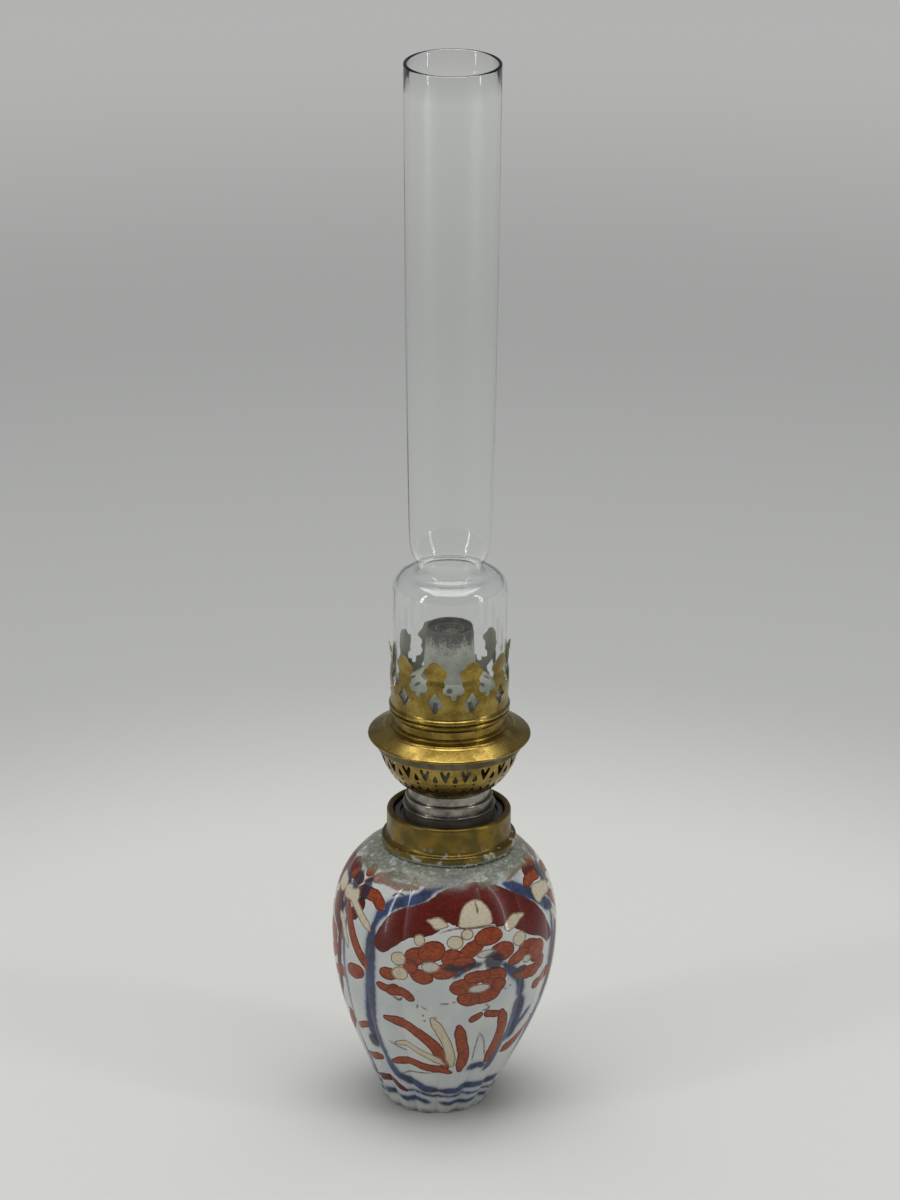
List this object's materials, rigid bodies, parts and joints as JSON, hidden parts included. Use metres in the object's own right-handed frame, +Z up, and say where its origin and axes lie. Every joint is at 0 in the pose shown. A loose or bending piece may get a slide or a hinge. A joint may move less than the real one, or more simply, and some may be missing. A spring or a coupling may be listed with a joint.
{
  "type": "oil table lamp",
  "caption": "Oil table lamp: lobed porcelain vase in blue, red and cream, brass collar, drop-in font, round-wick burner with pierced basket and pronged crown, and clear glass chimney.",
  "frame": {"origin": "on the axis of the burner and chimney, at the level of the table that the foot stands on", "axes": "+Z up along the chimney, +Y to the back where the wick knob points, +X to the right as seen from the front panel"},
  "size_m": [0.0916, 0.0954, 0.4431],
  "materials": {
    "porcelain": "gloss",
    "cement": "matte",
    "old_brass": "satin",
    "zinc": "matte",
    "nickel": "satin",
    "washer_leather": "matte",
    "brass": "satin",
    "patinated_brass": "matte",
    "wick_cotton": "matte",
    "chimney_glass": "polished"
  },
  "bodies": {
    "vase": {"vase": "porcelain", "cement_bed": "cement", "collar": "old_brass"},
    "font": {"font_shell": "zinc", "font_lid": "zinc", "font_thread_ring": "nickel"},
    "washer": {"sealing_washer": "washer_leather"},
    "burner": {"burner_ring": "nickel", "basket": "brass", "burner_floor": "brass", "wick_tube": "patinated_brass", "draught_tube": "patinated_brass", "draught_duct": "patinated_brass", "spindle_bracket": "brass", "spindle_gland": "brass"},
    "spindle": {"spindle": "brass", "wick_wheels": "brass", "knob": "brass", "knob_rivet": "brass"},
    "wick": {"wick": "wick_cotton"},
    "gallery": {"gallery_flange": "brass", "gallery_skirt": "nickel", "air_deck": "patinated_brass", "crown": "brass"},
    "chimney": {"chimney": "chimney_glass"}
  },
  "joints": [
    {"name": "font_lift", "type": "slide", "parent": "vase", "child": "font", "axis": [0, 0, 1], "range_m": [0, 0.095]},
    {"name": "burner_rise", "type": "slide", "parent": "font", "child": "washer", "axis": [0, 0, 1], "range_m": [0, 0.0037]},
    {"name": "burner_turn", "type": "hinge", "parent": "washer", "child": "burner", "pos_m": [0, 0, 0.128], "axis": [0, 0, 1], "range_deg": [0, 720]},
    {"name": "knob_turn", "type": "hinge", "parent": "burner", "child": "spindle", "pos_m": [-0.01255, 0.03, 0.1515], "axis": [0, 1, 0], "range_deg": [-60, 190]},
    {"name": "wick_raise", "type": "slide", "parent": "burner", "child": "wick", "axis": [0, 0, 1], "range_m": [-0.012, 0.004]},
    {"name": "gallery_lift", "type": "slide", "parent": "burner", "child": "gallery", "axis": [0, 0, 1], "range_m": [0, 0.055]},
    {"name": "chimney_lift", "type": "slide", "parent": "gallery", "child": "chimney", "axis": [0, 0, 1], "range_m": [0, 0.08]}
  ],
  "couplings": [
    {"joint": "burner_rise", "follows": "burner_turn", "m_per_rad": 0.00028648},
    {"joint": "wick_raise", "follows": "knob_turn", "m_per_rad": -0.0036}
  ]
}
